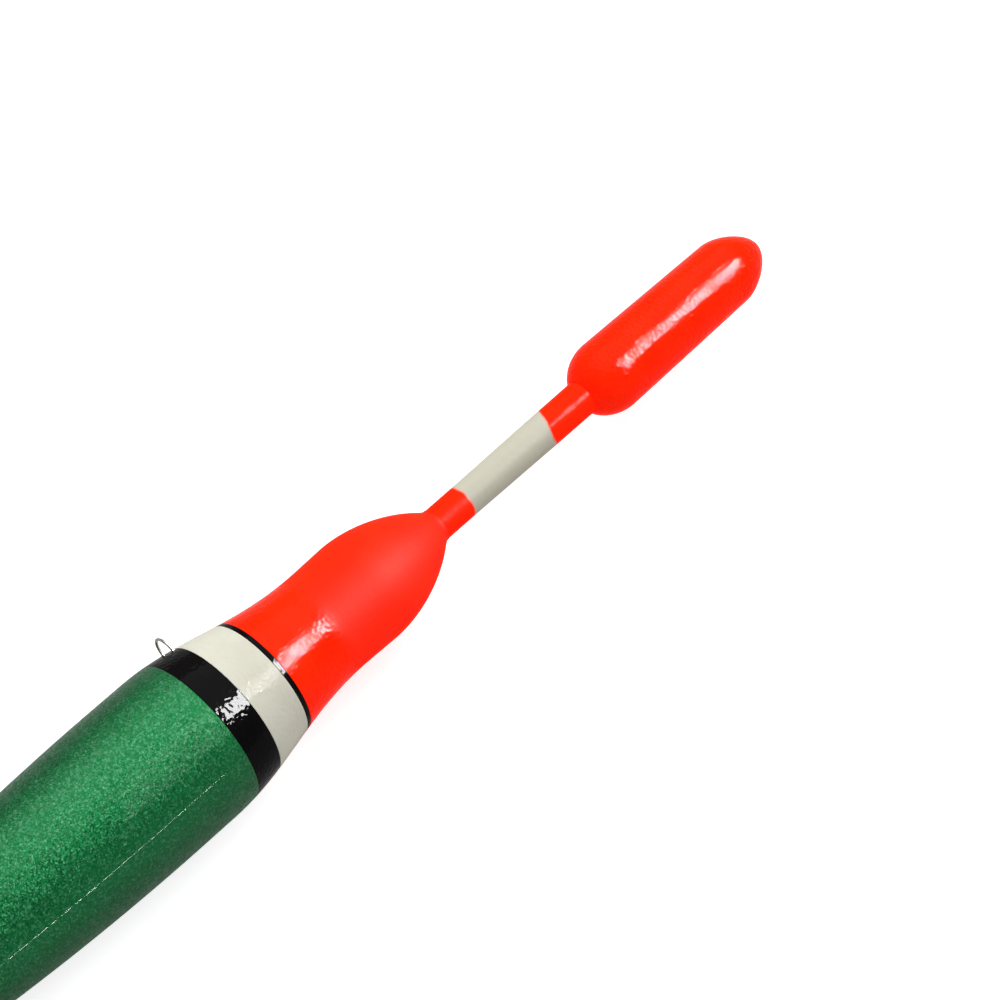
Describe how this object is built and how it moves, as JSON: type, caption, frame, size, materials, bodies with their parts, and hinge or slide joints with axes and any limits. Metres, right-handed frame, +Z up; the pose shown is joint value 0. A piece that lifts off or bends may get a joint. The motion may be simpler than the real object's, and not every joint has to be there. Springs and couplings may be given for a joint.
{
  "type": "fishing float",
  "caption": "Slim turned fishing float with a bright bulb tip on a thin antenna, banded shoulder, wire line eye, weighted keel and sliding line sleeves.",
  "frame": {"origin": "centre of the flat end of the keel stem, on the float's axis", "axes": "+X along the float towards the sight tip, +Z up as the float lies on its side, +Y the side the line eye points to"},
  "size_m": [0.2204, 0.0214, 0.0206],
  "materials": {
    "sight_tip": "fluorescent red, glossy",
    "antenna_stem": "ivory rod dipped in red paint at both ends",
    "shoulder_cap": "fluorescent red lacquer",
    "line_ring": "black gloss",
    "pale_collar": "ivory lacquer",
    "black_band": "black gloss lacquer",
    "main_body": "green metal-flake lacquer",
    "ballast_collar": "polished",
    "keel_stem": "black satin rod",
    "line_eye": "bright spring wire",
    "lower_sleeve": "smoke silicone",
    "middle_sleeve": "smoke silicone",
    "upper_sleeve": "smoke silicone"
  },
  "bodies": {
    "float": {"sight_tip": "sight_tip", "antenna_stem": "antenna_stem", "shoulder_cap": "shoulder_cap", "line_ring": "line_ring", "pale_collar": "pale_collar", "black_band": "black_band", "main_body": "main_body", "ballast_collar": "ballast_collar", "keel_stem": "keel_stem", "line_eye": "line_eye"},
    "lower_tube": {"lower_sleeve": "lower_sleeve"},
    "middle_tube": {"middle_sleeve": "middle_sleeve"},
    "upper_tube": {"upper_sleeve": "upper_sleeve"}
  },
  "joints": [
    {"name": "lower_sleeve_slide", "type": "slide", "parent": "float", "child": "lower_tube", "axis": [1, 0, 0], "range_m": [-0.0115, 0.0022]},
    {"name": "middle_sleeve_slide", "type": "slide", "parent": "float", "child": "middle_tube", "axis": [1, 0, 0], "range_m": [-0.0022, 0.0022]},
    {"name": "upper_sleeve_slide", "type": "slide", "parent": "float", "child": "upper_tube", "axis": [1, 0, 0], "range_m": [-0.0044, 0]}
  ]
}
